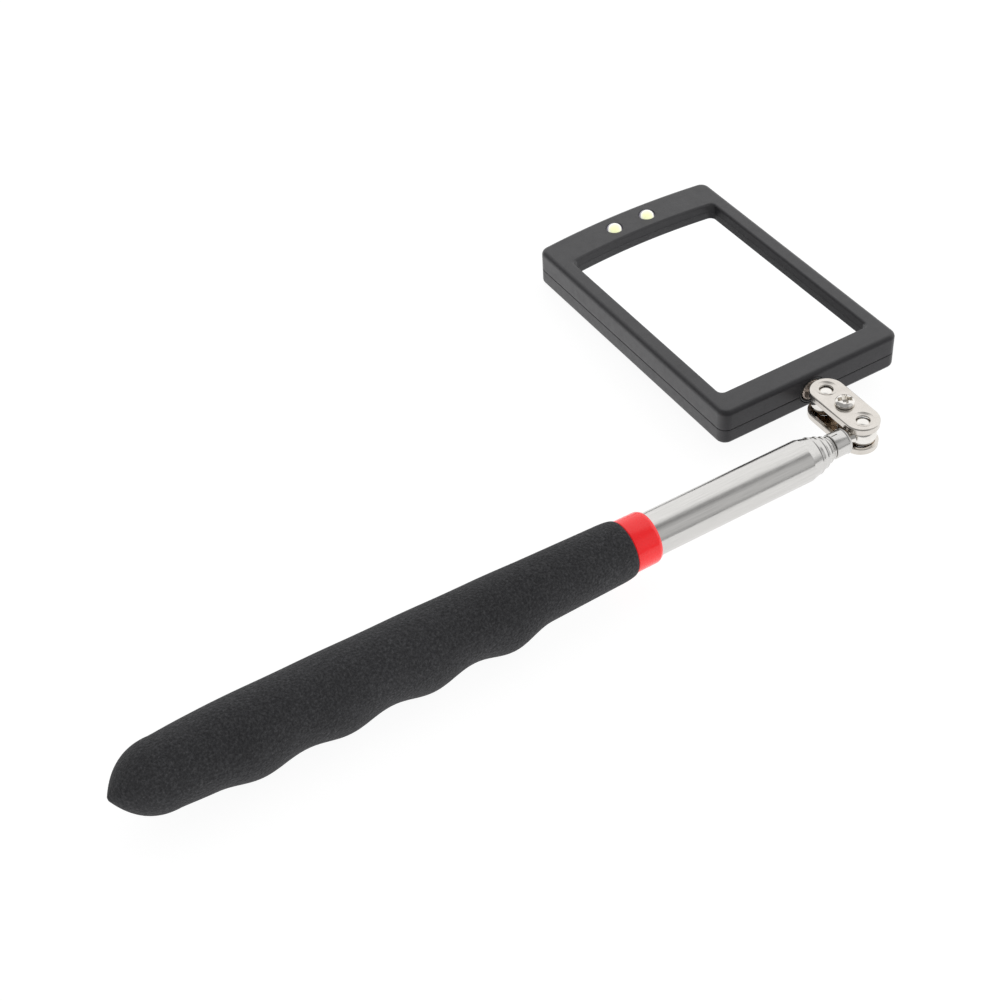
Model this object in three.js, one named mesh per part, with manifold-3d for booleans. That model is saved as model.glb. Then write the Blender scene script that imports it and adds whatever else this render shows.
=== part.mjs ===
// Telescoping inspection mirror: foam grip, five nested tubes, a double ball joint
// clamped between two plates, and a rectangular lit mirror head.
// Millimetres, +Z up, +X along the handle towards the joint, the head points to +Y.
// The tool lies on a table at z = 0: on its finger ridges and on the far edge of the head.

import * as THREE from 'three';
import { mergeVertices } from 'three/addons/utils/BufferGeometryUtils.js';
import Module from 'manifold-3d';

const wasm = await Module();
wasm.setup();

// ---- Driving dimensions -------------------------------------------------------------

// Handle, measured along its axis from the centre of the tube ball at x = 0.
const AXIS_HEIGHT = 12.35; // the finger ridges reach this far below the axis
const GRIP_BUTT = -219.1;
const GRIP_SHOULDER = -205;
const GRIP_LIP = -81.6; // the front end starts to round over here
const GRIP_FRONT = -77.3;
const GRIP_BORE = 6.25;
const RIDGE_COUNT = 4;
const RIDGE_PITCH = 23.2;
const RIDGE_FIRST = -184.4;
const COLLAR_BACK = -77.15;
const COLLAR_FRONT = -69.6;
const COLLAR_RADIUS = 7.2;

// Telescope: outer radius, wall, rear end, start of the mouth crimp and mouth of each stage.
const TUBE_WALL = 0.38;
const SLIDE_GAP = 0.1;
const STAGES = [
  { name: 'outer_tube', radius: 6, rear: -205, crimp: -20.3, mouth: -16.6 },
  { name: 'tube_section_2', radius: 4.85, rear: -172, crimp: -15.7, mouth: -14.3 },
  { name: 'tube_section_3', radius: 4.12, rear: -168.5, crimp: -13.8, mouth: -12.5 },
  { name: 'tube_section_4', radius: 3.4, rear: -166, crimp: -12, mouth: -10.9 },
  { name: 'tip_tube', radius: 2.65, rear: -164, crimp: -11.3, mouth: -10.9 },
];
const BUSH_LENGTH = 6;
const SPIGOT_REAR = -18; // the ferrule reaches this far into the tip tube
const FERRULE_RADIUS = 3.6;
const FERRULE_FRONT = -5.9;
const NECK_REAR = -14;

// Double ball joint.
const BALL_SPACING = 15.5;
const BALL_RADIUS = 3.9;
const CUP_GAP = 0.3; // between a ball and the hollow end of its neck
const NECK_RADIUS = 1.3;
const PLATE_RADIUS = 5.05;
const PLATE_INSET = 0.65; // the round ends are centred this far in from the ball centres
const PLATE_OUTSIDE = 4.5; // outer faces above and below the ball centres
const PLATE_DEPTH = 2;
const PLATE_SHEET = 1.1;
const PLATE_RIM = 0.9;
const PLATE_EDGE = 0.4;
const BALL_HOLE = 2.15;
const SCREW_RADIUS = 1.4;
const SCREW_HEAD = 2.65;
const SCREW_END = -6.6;
const SCREW_SLOT = 0.7;
const NUT_RADIUS = 2.9;
const NUT_END = -6.5;
const SEAT_GAP = 0.15; // under the screw head and the nut
const PLATE_STEPS = 7; // straight steps round each end of a plate

// Head, in its own flat plane: z = 0 is the middle of its thickness.
const HEAD_THICKNESS = 11.4;
const HEAD_HALF_WIDTH = 30.3;
const NECK_TO_HEAD = 5.7; // from the head ball to the near end of the casing
const HEAD_NEAR = BALL_SPACING + NECK_TO_HEAD;
const HEAD_FAR = HEAD_NEAR + 92.15;
const HEAD_BOW = 1.6; // the light end bows outward by this much
const HEAD_CORNER = 3;
const LEAST_CORNER = 0.3;
const HEAD_FILLET = 2.2;
const WALL = 2;
const TOP_WALL = 2.5;
const FLOOR = 2.2;
const PARTING = -0.7;
const PARTING_GAP = 0.3;
const LIP_RISE = 0.8; // the lip of the cover stands this far above the parting
const WINDOW_HALF_WIDTH = 25.4;
const WINDOW_NEAR = HEAD_NEAR + 8;
const WINDOW_FAR = WINDOW_NEAR + 72.9;
const WINDOW_BOW = 1.4;
const WINDOW_CORNER = 1.9;
const MIRROR_MARGIN = 1.3; // glass hidden behind each edge of the window
const MIRROR_TOP = 2.9;
const MIRROR_THICKNESS = 1.6;
const BACKING_MARGIN = 0.4;
const BACKING_TOP = 1;
const BACKING_THICKNESS = 0.6;
const LIGHT_X = 5.9;
const LIGHT_Y = WINDOW_FAR + 6.8;
const LIGHT_RADIUS = 2.2;
const LIGHT_BASE = 1.7;
const LIGHT_TOP = 5.95;
const FLANGE_RADIUS = 2.8;
const FLANGE_HEIGHT = 0.9;
const FIT_GAP = 0.3; // clearance between pieces that sit in one another

// Pieces of the head's neck, along the neck from the head ball.
const COLLAR_NUT = { near: 5.4, far: 6.9, radius: 3.3 };
const BOSS = { near: NECK_TO_HEAD, far: 9.3, radius: 4.1, bore: 3.55, step: 7.1, hole: 1.6 };
const END_NUT = { near: 9.7, far: 10.9, radius: 2.4 };
const NECK_END = 11.2;

// Power and casing hardware.
const CELL_RADIUS = 10;
const CELL_THICKNESS = 3.2;
const CELL_X = 10.4;
const CELL_Y = 97;
const CELL_BASE = -3.75;
const CELL_CAP = 8.8;
const CELL_STEP = 0.3;
const WELL_HALF_WIDTH = 20.8;
const DOOR_NEAR = 84.5;
const DOOR_HALF_WIDTH = 21.3;
const DOOR_THICKNESS = 1.3;
const DOVETAIL = 1;
const GROOVE_FIRST = 91;
const GROOVE_PITCH = 2.2;
const SWITCH_Y = 46;
const KNOB_REST_X = -1.5;
const POST_RADIUS = 1.9;
const PILOT_RADIUS = 1.15;
const HEAD_WAY_RADIUS = 1.85;
const POSTS = [
  { x: -24.5, y: HEAD_NEAR + 4.1 },
  { x: 24.5, y: HEAD_NEAR + 4.1 },
  { x: -25.9, y: LIGHT_Y - 0.4 },
  { x: 25.9, y: LIGHT_Y - 0.4 },
];

const ROUND = 20; // facets round a tube
const SMALL_ROUND = 12;
const CORNER_STEPS = 4; // straight steps in each rounded corner of a plan
const BACK = -HEAD_THICKNESS / 2;
const FRONT = HEAD_THICKNESS / 2;
const HEAD_TIP = Math.asin((AXIS_HEIGHT + BACK) / (HEAD_FAR + HEAD_BOW - HEAD_FILLET));

// ---- Materials ----------------------------------------------------------------------

const finish = (color, roughness, metalness) =>
  new THREE.MeshStandardMaterial({ color, roughness, metalness });

const FOAM = finish(0x2f3033, 0.95, 0);
const RED_PLASTIC = finish(0xf02f38, 0.25, 0);
const STEEL = finish(0xd6d6d4, 0.22, 1);
const BRONZE = finish(0xb48a4c, 0.35, 1);
const CHROME = finish(0xdcdad6, 0.08, 1);
const CASING = finish(0x3a3b3d, 0.5, 0);
const DARK_PLASTIC = finish(0x19191b, 0.5, 0);
const MIRROR = finish(0xf4f5f7, 0.03, 1);
const CARD = finish(0x8b7f6a, 0.9, 0);
const LIGHT_LENS = finish(0xf1f2c4, 0.15, 0);
const BOARD = finish(0x1f5d3a, 0.5, 0);

// ---- Solid helpers ------------------------------------------------------------------

// Keeps only positions, joins shared corners, drops collapsed triangles, faces outward.
function closed(geometry) {
  const bare = geometry.clone();
  bare.deleteAttribute('normal');
  bare.deleteAttribute('uv');
  const merged = mergeVertices(bare, 1e-5);
  const position = merged.attributes.position;
  const corner = [new THREE.Vector3(), new THREE.Vector3(), new THREE.Vector3()];
  const kept = [];
  let volume = 0;
  for (let i = 0; i < merged.index.count; i += 3) {
    const triangle = [0, 1, 2].map((k) => merged.index.getX(i + k));
    if (new Set(triangle).size < 3) continue;
    triangle.forEach((v, k) => corner[k].fromBufferAttribute(position, v));
    volume += corner[0].dot(corner[1].clone().cross(corner[2]));
    kept.push(triangle);
  }
  const facing = volume < 0 ? kept.map(([a, b, c]) => [a, c, b]) : kept;
  merged.setIndex(facing.flat());
  return merged;
}

function solid(geometry) {
  const ready = closed(geometry);
  return new wasm.Manifold(new wasm.Mesh({
    numProp: 3,
    vertProperties: new Float32Array(ready.attributes.position.array),
    triVerts: new Uint32Array(ready.index.array),
  }));
}

function shaped(manifold) {
  const mesh = manifold.getMesh();
  const geometry = new THREE.BufferGeometry();
  geometry.setAttribute('position', new THREE.BufferAttribute(mesh.vertProperties, 3));
  geometry.setIndex(new THREE.BufferAttribute(mesh.triVerts, 1));
  return geometry;
}

const join = (geometries) => shaped(geometries.map(solid).reduce((a, b) => a.add(b)));
const cut = (body, tools) => shaped(tools.map(solid).reduce((a, b) => a.subtract(b), solid(body)));
const overlap = (a, b) => shaped(solid(a).intersect(solid(b)));

function box(x0, x1, y0, y1, z0, z1) {
  const geometry = new THREE.BoxGeometry(x1 - x0, y1 - y0, z1 - z0);
  return geometry.translate((x0 + x1) / 2, (y0 + y1) / 2, (z0 + z1) / 2);
}

// Turned piece about the X axis from [x, radius] points.
function turned(profile, segments = ROUND) {
  const points = profile.map(([x, radius]) => new THREE.Vector2(radius, x));
  return closed(new THREE.LatheGeometry(points, segments).rotateZ(-Math.PI / 2));
}

const ring = (x0, x1, inner, outer) =>
  [[x0, inner], [x0, outer], [x1, outer], [x1, inner], [x0, inner]];

// Upright turned piece at (x, y) from [z, radius] points.
function upright(x, y, profile, segments = SMALL_ROUND) {
  return turned(profile, segments).rotateY(-Math.PI / 2).translate(x, y, 0);
}

const post = (x, y, radius, z0, z1) => upright(x, y, [[z0, 0], [z0, radius], [z1, radius], [z1, 0]]);

function slab(shape, z0, z1, curveSegments = CORNER_STEPS) {
  const geometry = new THREE.ExtrudeGeometry(shape, { depth: z1 - z0, bevelEnabled: false, curveSegments });
  return closed(geometry.translate(0, 0, z0));
}

// Four-cornered plan with round corners, whose far side bows outward.
function bowedPlan(halfWidth, near, far, bow, radius) {
  const lean = Math.atan(2 * bow / (halfWidth - radius));
  const shoulder = halfWidth - radius + radius * Math.sin(lean);
  const shoulderY = far - radius + radius * Math.cos(lean);
  const plan = new THREE.Shape();
  plan.moveTo(radius - halfWidth, near);
  plan.lineTo(halfWidth - radius, near);
  plan.absarc(halfWidth - radius, near + radius, radius, -Math.PI / 2, 0);
  plan.lineTo(halfWidth, far - radius);
  plan.absarc(halfWidth - radius, far - radius, radius, 0, Math.PI / 2 - lean);
  plan.quadraticCurveTo(0, far + 2 * bow, -shoulder, shoulderY);
  plan.absarc(radius - halfWidth, far - radius, radius, Math.PI / 2 + lean, Math.PI);
  plan.lineTo(-halfWidth, near + radius);
  plan.absarc(radius - halfWidth, near + radius, radius, Math.PI, Math.PI * 1.5);
  return plan;
}

function headPlan(inset) {
  const corner = Math.max(HEAD_CORNER - inset, LEAST_CORNER);
  return bowedPlan(HEAD_HALF_WIDTH - inset, HEAD_NEAR + inset, HEAD_FAR - inset, HEAD_BOW, corner);
}

// ---- Handle -------------------------------------------------------------------------

// Height of the finger ridges below the plain round grip, at x along the axis.
function ridgeHeight(x, gripRadius) {
  const last = RIDGE_FIRST + (RIDGE_COUNT - 1) * RIDGE_PITCH;
  if (x < RIDGE_FIRST - RIDGE_PITCH / 2 || x > last + RIDGE_PITCH / 2) return 0;
  const wave = 0.5 + 0.5 * Math.cos(2 * Math.PI * (x - RIDGE_FIRST) / RIDGE_PITCH);
  const between = x > RIDGE_FIRST && x < last;
  return (AXIS_HEIGHT - gripRadius) * (between ? 0.12 + 0.88 * wave : wave);
}

function foamGrip() {
  const at = (x, radius) => new THREE.Vector2(x, radius);
  const shoulder = at(GRIP_SHOULDER, 9.12);
  const lipStart = at(GRIP_LIP, 8.12);
  const butt = new THREE.QuadraticBezierCurve(at(GRIP_BUTT, 0.5), at(GRIP_BUTT + 4.95, 9.55), shoulder);
  const swell = new THREE.SplineCurve([shoulder, at(-186, 9.8), at(-133, 9.3), lipStart]);
  const lip = new THREE.QuadraticBezierCurve(lipStart, at(GRIP_FRONT - 0.3, 8), at(GRIP_FRONT, 7.25));
  const boreEnd = STAGES[0].rear - FIT_GAP;
  const outside = [...butt.getPoints(5), ...swell.getPoints(32).slice(1), ...lip.getPoints(3).slice(1)];
  const profile = [[GRIP_BUTT, 0], ...outside.map((p) => [p.x, p.y]),
    [GRIP_FRONT, GRIP_BORE], [boreEnd, GRIP_BORE], [boreEnd, 0]];
  const geometry = turned(profile);
  const position = geometry.attributes.position;
  for (let i = 0; i < position.count; i++) {
    const [x, y, z] = [position.getX(i), position.getY(i), position.getZ(i)];
    const radius = Math.hypot(y, z);
    if (radius < GRIP_BORE + 0.5) continue;
    const underside = (0.5 - 0.5 * z / radius) ** 2.2;
    const grown = 1 + ridgeHeight(x, radius) * underside / radius;
    position.setXYZ(i, x, y * grown, z * grown);
  }
  return geometry;
}

const collarRing = () => turned([
  [COLLAR_BACK, 6.2], [COLLAR_BACK, COLLAR_RADIUS], [COLLAR_FRONT - 0.9, COLLAR_RADIUS - 0.1],
  [COLLAR_FRONT - 0.25, COLLAR_RADIUS - 0.4], [COLLAR_FRONT, COLLAR_RADIUS - 0.9],
  [COLLAR_FRONT, 6.2], [COLLAR_BACK, 6.2]]);

const endPlug = () => turned(ring(STAGES[0].rear, STAGES[0].rear + 9, 1.5, 5.3));

// A drawn tube whose mouth is crimped down onto the next stage.
function stageTube(index) {
  const { radius, rear, crimp, mouth } = STAGES[index];
  const inner = radius - TUBE_WALL;
  const next = STAGES[index + 1];
  const mouthInner = next ? next.radius + SLIDE_GAP : inner;
  const mouthOuter = mouthInner + TUBE_WALL;
  return turned([[rear, inner], [rear, radius], [crimp, radius], [mouth, mouthOuter],
    [mouth, mouthInner], [crimp, inner], [rear, inner]]);
}

// Thin spring sleeve at the rear of a stage, rubbing inside the stage before it.
function frictionBush(index) {
  const outer = STAGES[index - 1].radius - TUBE_WALL - SLIDE_GAP;
  const inner = STAGES[index].radius + SLIDE_GAP;
  return turned(ring(STAGES[index].rear, STAGES[index].rear + BUSH_LENGTH, inner, outer));
}

function tipFerrule() {
  const spigot = STAGES[4].radius - TUBE_WALL - 0.15;
  const shoulder = STAGES[4].mouth + 0.1;
  const bore = NECK_RADIUS + 0.15;
  return turned([[SPIGOT_REAR, bore], [SPIGOT_REAR, spigot], [shoulder, spigot], [shoulder, FERRULE_RADIUS],
    [FERRULE_FRONT - 0.5, FERRULE_RADIUS], [FERRULE_FRONT, FERRULE_RADIUS - 0.5],
    [FERRULE_FRONT, bore], [SPIGOT_REAR, bore]]);
}

// ---- Ball joint ---------------------------------------------------------------------

// Neck along X that ends at x = end and is hollowed to clear the ball at the origin.
function ballNeck(end) {
  const clear = BALL_RADIUS + CUP_GAP;
  const side = Math.sign(end);
  const edge = Math.asin(NECK_RADIUS / clear);
  const hollow = [0, 1, 2, 3].map((k) => edge * k / 3);
  const cup = hollow.map((angle) => [side * clear * Math.cos(angle), clear * Math.sin(angle)]);
  return turned([...cup, [end, NECK_RADIUS], [end, 0]], SMALL_ROUND);
}

const ball = () => closed(new THREE.SphereGeometry(BALL_RADIUS, 18, 12));

function stadium(radius) {
  const far = BALL_SPACING - PLATE_INSET;
  const plan = new THREE.Shape();
  plan.absarc(0, PLATE_INSET, radius, Math.PI, 2 * Math.PI);
  plan.lineTo(radius, far);
  plan.absarc(0, far, radius, 0, Math.PI);
  return plan;
}

// Pressed plate with a turned rim, holed for both balls and the clamp screw.
function clampPlate() {
  const inside = PLATE_OUTSIDE - PLATE_DEPTH;
  const body = new THREE.ExtrudeGeometry(stadium(PLATE_RADIUS), {
    depth: PLATE_DEPTH - PLATE_EDGE, bevelThickness: PLATE_EDGE, bevelSize: PLATE_EDGE,
    bevelOffset: -PLATE_EDGE, bevelSegments: 1, curveSegments: PLATE_STEPS,
  });
  const outer = overlap(body.translate(0, 0, inside), box(-20, 20, -20, 40, inside, PLATE_OUTSIDE + 1));
  const hollow = slab(stadium(PLATE_RADIUS - PLATE_RIM), 0, PLATE_OUTSIDE - PLATE_SHEET, PLATE_STEPS);
  const holes = [0, BALL_SPACING].map((y) => post(0, y, BALL_HOLE, 0, 9));
  return cut(outer, [hollow, ...holes, post(0, BALL_SPACING / 2, SCREW_RADIUS + 0.2, 0, 9)]);
}

function clampScrew() {
  const seat = PLATE_OUTSIDE + SEAT_GAP;
  const middle = BALL_SPACING / 2;
  const body = upright(0, middle, [[SCREW_END, 0], [SCREW_END, SCREW_RADIUS], [seat, SCREW_RADIUS],
    [seat, SCREW_HEAD], [seat + 0.8, SCREW_HEAD - 0.05], [seat + 1.35, 2], [seat + 1.6, 1],
    [seat + 1.65, 0]]);
  const wing = 1.5;
  const slot = SCREW_SLOT / 2;
  const recess = [seat + 0.85, seat + 3];
  return cut(body, [box(-wing, wing, middle - slot, middle + slot, ...recess),
    box(-slot, slot, middle - wing, middle + wing, ...recess)]);
}

function clampNut() {
  const nut = upright(0, BALL_SPACING / 2, ring(NUT_END, -PLATE_OUTSIDE - SEAT_GAP, 0, NUT_RADIUS), 6);
  return cut(nut, [post(0, BALL_SPACING / 2, SCREW_RADIUS + SEAT_GAP, -9, 0)]);
}

// Turned pieces of the head's neck lie along Y from the head ball.
const alongY = (geometry) => geometry.rotateZ(Math.PI / 2).translate(0, BALL_SPACING, 0);
const NECK_BORE = NECK_RADIUS + 0.15;

function stemCollar() {
  const { near, far, radius } = COLLAR_NUT;
  return alongY(turned([[near, NECK_BORE], [near, radius - 0.4], [near + 0.4, radius], [far, radius],
    [far, NECK_BORE], [near, NECK_BORE]], SMALL_ROUND));
}

const stemEndNut = () =>
  alongY(turned(ring(END_NUT.near, END_NUT.far, NECK_BORE, END_NUT.radius), SMALL_ROUND));

// Bush in the near wall of the casing, with a socket for the collar.
function stemBoss() {
  const { near, far, radius, bore, step, hole } = BOSS;
  return alongY(turned([[near, bore], [near, radius], [far, radius], [far, hole], [step, hole],
    [step, bore], [near, bore]], ROUND));
}

// ---- Head ---------------------------------------------------------------------------

function headEnvelope() {
  const geometry = new THREE.ExtrudeGeometry(headPlan(0), {
    depth: HEAD_THICKNESS - 2 * HEAD_FILLET, bevelThickness: HEAD_FILLET, bevelSize: HEAD_FILLET,
    bevelOffset: -HEAD_FILLET, bevelSegments: 3, curveSegments: CORNER_STEPS,
  });
  return closed(geometry.translate(0, 0, BACK + HEAD_FILLET));
}

const band = (z0, z1) => box(-50, 50, 0, 150, z0, z1);
const bossHole = () => alongY(turned(ring(0, 12, 0, BOSS.radius + FIT_GAP), ROUND));

const windowPlan = (margin) => bowedPlan(WINDOW_HALF_WIDTH + margin, WINDOW_NEAR - margin,
  WINDOW_FAR + margin, WINDOW_BOW, WINDOW_CORNER);

function frontBezel() {
  const cavity = slab(headPlan(WALL), -9, FRONT - TOP_WALL);
  const lightHoles = [-LIGHT_X, LIGHT_X].map((x) => post(x, LIGHT_Y, LIGHT_RADIUS + FIT_GAP, 0, 9));
  const shell = cut(overlap(headEnvelope(), band(PARTING, 9)), [cavity]);
  const posts = POSTS.map(({ x, y }) => post(x, y, POST_RADIUS, PARTING, FRONT - 1));
  const screwHoles = POSTS.map(({ x, y }) => post(x, y, PILOT_RADIUS, PARTING - 1, 3.2));
  const window = slab(windowPlan(0), 0, 9);
  return cut(join([shell, ...posts]), [window, ...lightHoles, bossHole(), ...screwHoles]);
}

// Dovetailed way for the battery door, open at the light end.
function dovetail(spare) {
  const half = DOOR_HALF_WIDTH + spare;
  const top = BACK + DOOR_THICKNESS + spare;
  const way = new THREE.Shape([new THREE.Vector2(-half, BACK - 1), new THREE.Vector2(half, BACK - 1),
    new THREE.Vector2(half, BACK), new THREE.Vector2(half + DOVETAIL, top),
    new THREE.Vector2(-half - DOVETAIL, top), new THREE.Vector2(-half, BACK)]);
  const length = 40;
  const geometry = new THREE.ExtrudeGeometry(way, { depth: length, bevelEnabled: false });
  return closed(geometry.rotateX(Math.PI / 2).translate(0, DOOR_NEAR - spare + length, 0));
}

function rearCover() {
  const top = PARTING - PARTING_GAP;
  const tray = cut(overlap(headEnvelope(), band(-9, top)), [slab(headPlan(WALL), BACK + FLOOR, 9)]);
  const lipOutside = slab(headPlan(WALL + FIT_GAP), BACK + FLOOR - 0.5, PARTING + LIP_RISE);
  const lip = cut(lipOutside, [slab(headPlan(WALL + FIT_GAP + 1), -9, 9)]);
  const bosses = POSTS.map(({ x, y }) => post(x, y, POST_RADIUS, BACK + 1, top));
  const lipRelief = POSTS.map(({ x, y }) => post(x, y, POST_RADIUS + 0.4, top, 9));
  const reach = CELL_RADIUS + 0.5;
  const batteryWell = box(-WELL_HALF_WIDTH, WELL_HALF_WIDTH, CELL_Y - reach, CELL_Y + reach, -9, 0);
  const knobPocket = box(-4.7, 4.7, SWITCH_Y - 2.4, SWITCH_Y + 2.4, BACK - 1, BACK + 1.1);
  const knobSlot = box(-2.8, 2.8, SWITCH_Y - 1.3, SWITCH_Y + 1.3, BACK - 1, 0);
  const screwWays = POSTS.flatMap(({ x, y }) =>
    [post(x, y, HEAD_WAY_RADIUS, -9, BACK + 2.1), post(x, y, PILOT_RADIUS, -9, 0)]);
  return cut(join([tray, cut(lip, lipRelief), ...bosses]),
    [batteryWell, dovetail(FIT_GAP), knobPocket, knobSlot, bossHole(), ...screwWays]);
}

// The door is a slice of the casing itself, with finger grooves across its back.
function batteryDoor() {
  const slice = overlap(headEnvelope(), dovetail(0));
  const grooves = [0, 1, 2, 3].map((k) => GROOVE_FIRST + GROOVE_PITCH * k)
    .map((y) => box(-7, 7, y, y + 1, BACK - 1, BACK + 0.4));
  return cut(slice, grooves);
}

const mirrorGlass = () => slab(windowPlan(MIRROR_MARGIN), MIRROR_TOP - MIRROR_THICKNESS, MIRROR_TOP);
const mirrorBacking = () => slab(windowPlan(BACKING_MARGIN), BACKING_TOP - BACKING_THICKNESS, BACKING_TOP);

// Domed lens with a flange at its foot.
const lightLens = (x) => upright(x, LIGHT_Y, [[LIGHT_BASE, 0], [LIGHT_BASE, FLANGE_RADIUS],
  [LIGHT_BASE + FLANGE_HEIGHT, FLANGE_RADIUS], [LIGHT_BASE + FLANGE_HEIGHT, LIGHT_RADIUS],
  [LIGHT_TOP - 0.85, LIGHT_RADIUS], [LIGHT_TOP - 0.3, 1.8], [LIGHT_TOP - 0.05, 1], [LIGHT_TOP, 0]], 16);
const lightBoard = () => box(-13, 13, LIGHT_Y - 3, LIGHT_Y + 3, 0.4, 1.4);

const coinCell = (x) => upright(x, CELL_Y, [[CELL_BASE, 0], [CELL_BASE, CELL_CAP],
  [CELL_BASE + CELL_STEP, CELL_CAP], [CELL_BASE + CELL_STEP, CELL_RADIUS],
  [CELL_BASE + CELL_THICKNESS, CELL_RADIUS], [CELL_BASE + CELL_THICKNESS, 0]], ROUND);
const contactStrip = () => box(-15, 15, CELL_Y - 2.5, CELL_Y + 2.5, -0.25, 0.15);

const switchBody = () => box(-4.3, 4.3, SWITCH_Y - 2, SWITCH_Y + 2, -3.2, -0.3);
const switchKnob = () => join([
  box(KNOB_REST_X - 2.2, KNOB_REST_X + 2.2, SWITCH_Y - 1.8, SWITCH_Y + 1.8, BACK + 0.1, BACK + 0.8),
  box(KNOB_REST_X - 1, KNOB_REST_X + 1, SWITCH_Y - 0.9, SWITCH_Y + 0.9, BACK + 0.5, -3.5)]);

function casingScrew({ x, y }) {
  const head = BACK + 0.7;
  const body = upright(x, y, [[head, 0], [head, 1.4], [head + 0.3, 1.65], [head + 1.1, 1.65],
    [head + 1.1, 0.95], [2.9, 0.95], [2.9, 0]], SMALL_ROUND);
  return cut(body, [box(x - 1, x + 1, y - 0.25, y + 0.25, BACK - 1, head + 0.6),
    box(x - 0.25, x + 0.25, y - 1, y + 1, BACK - 1, head + 0.6)]);
}

// ---- Assembly -----------------------------------------------------------------------

function piece(parent, name, geometry, material) {
  const mesh = new THREE.Mesh(geometry, material);
  mesh.name = name;
  parent.add(mesh);
  return mesh;
}

const handle = new THREE.Group();
handle.position.z = AXIS_HEIGHT;
piece(handle, 'foam_grip', foamGrip(), FOAM);
piece(handle, 'collar_ring', collarRing(), RED_PLASTIC);
piece(handle, 'tube_end_plug', endPlug(), DARK_PLASTIC);
STAGES.forEach(({ name }, index) => {
  piece(handle, name, stageTube(index), STEEL);
  if (index > 0) piece(handle, `friction_bush_${index + 1}`, frictionBush(index), BRONZE);
});
piece(handle, 'tip_ferrule', tipFerrule(), CHROME);
piece(handle, 'tube_ball_stem', ballNeck(NECK_REAR), CHROME);

// Plates and head share one plane, tipped about the handle's axis down to the table.
const reach = new THREE.Group();
reach.position.z = AXIS_HEIGHT;
reach.rotation.x = -HEAD_TIP;
piece(reach, 'tube_ball', ball(), CHROME);
piece(reach, 'clamp_plate_top', clampPlate(), CHROME);
piece(reach, 'clamp_plate_bottom', clampPlate(), CHROME).rotation.y = Math.PI;
piece(reach, 'clamp_screw', clampScrew(), CHROME);
piece(reach, 'clamp_nut', clampNut(), CHROME);
piece(reach, 'head_ball', ball(), CHROME).position.y = BALL_SPACING;
piece(reach, 'head_ball_stem', alongY(ballNeck(NECK_END)), CHROME);
piece(reach, 'stem_collar', stemCollar(), CHROME);
piece(reach, 'stem_end_nut', stemEndNut(), CHROME);
piece(reach, 'stem_boss', stemBoss(), DARK_PLASTIC);
piece(reach, 'front_bezel', frontBezel(), CASING);
piece(reach, 'rear_cover', rearCover(), CASING);
piece(reach, 'battery_door', batteryDoor(), CASING);
piece(reach, 'mirror_glass', mirrorGlass(), MIRROR);
piece(reach, 'mirror_backing', mirrorBacking(), CARD);
piece(reach, 'led_left', lightLens(-LIGHT_X), LIGHT_LENS);
piece(reach, 'led_right', lightLens(LIGHT_X), LIGHT_LENS);
piece(reach, 'led_board', lightBoard(), BOARD);
piece(reach, 'coin_cell_left', coinCell(-CELL_X), STEEL);
piece(reach, 'coin_cell_right', coinCell(CELL_X), STEEL);
piece(reach, 'battery_contact', contactStrip(), BRONZE);
piece(reach, 'switch_body', switchBody(), STEEL);
piece(reach, 'switch_knob', switchKnob(), DARK_PLASTIC);
POSTS.forEach((place, index) => piece(reach, `casing_screw_${index + 1}`, casingScrew(place), STEEL));

// The origin is on the table, under the middle of the whole tool.
const tool = new THREE.Group();
tool.add(handle, reach);
tool.updateMatrixWorld(true);
const extent = new THREE.Box3().setFromObject(tool, true);
const middle = extent.getCenter(new THREE.Vector3());
tool.position.set(-middle.x, -middle.y, -extent.min.z);

export default tool;
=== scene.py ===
"""Looks of the telescoping inspection mirror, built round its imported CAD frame.

Meshes are made in millimetres in spaces of their own. HANDLE's X runs along the tube.
PLANE's Y runs from the tube ball to the head ball and its Z stands on the mirror. Both are
centred on the tube ball, and the others are PLANE moved or turned. Each space's matrix
carries a mesh to metres in the row frame.
"""

import math

import bmesh
import bpy
from mathutils import Matrix, Vector


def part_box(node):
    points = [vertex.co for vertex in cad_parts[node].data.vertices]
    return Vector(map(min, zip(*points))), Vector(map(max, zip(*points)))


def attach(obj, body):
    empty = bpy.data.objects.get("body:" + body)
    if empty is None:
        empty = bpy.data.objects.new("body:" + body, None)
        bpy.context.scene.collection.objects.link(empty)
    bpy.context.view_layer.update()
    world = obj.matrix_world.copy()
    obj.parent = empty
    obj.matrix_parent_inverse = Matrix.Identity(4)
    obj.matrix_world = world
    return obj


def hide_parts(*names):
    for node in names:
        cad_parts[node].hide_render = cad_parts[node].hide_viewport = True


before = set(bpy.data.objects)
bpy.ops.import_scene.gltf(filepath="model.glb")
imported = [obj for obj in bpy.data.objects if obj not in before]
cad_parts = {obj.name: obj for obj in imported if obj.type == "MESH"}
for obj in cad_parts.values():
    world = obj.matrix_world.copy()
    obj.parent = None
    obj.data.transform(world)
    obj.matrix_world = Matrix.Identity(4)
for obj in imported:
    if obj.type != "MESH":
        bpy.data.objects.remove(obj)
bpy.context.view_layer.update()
MM = 0.001

# ---- Spaces, from the two balls ----------------------------------


def middle(node):
    low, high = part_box(node)
    return (low + high) / 2


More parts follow.
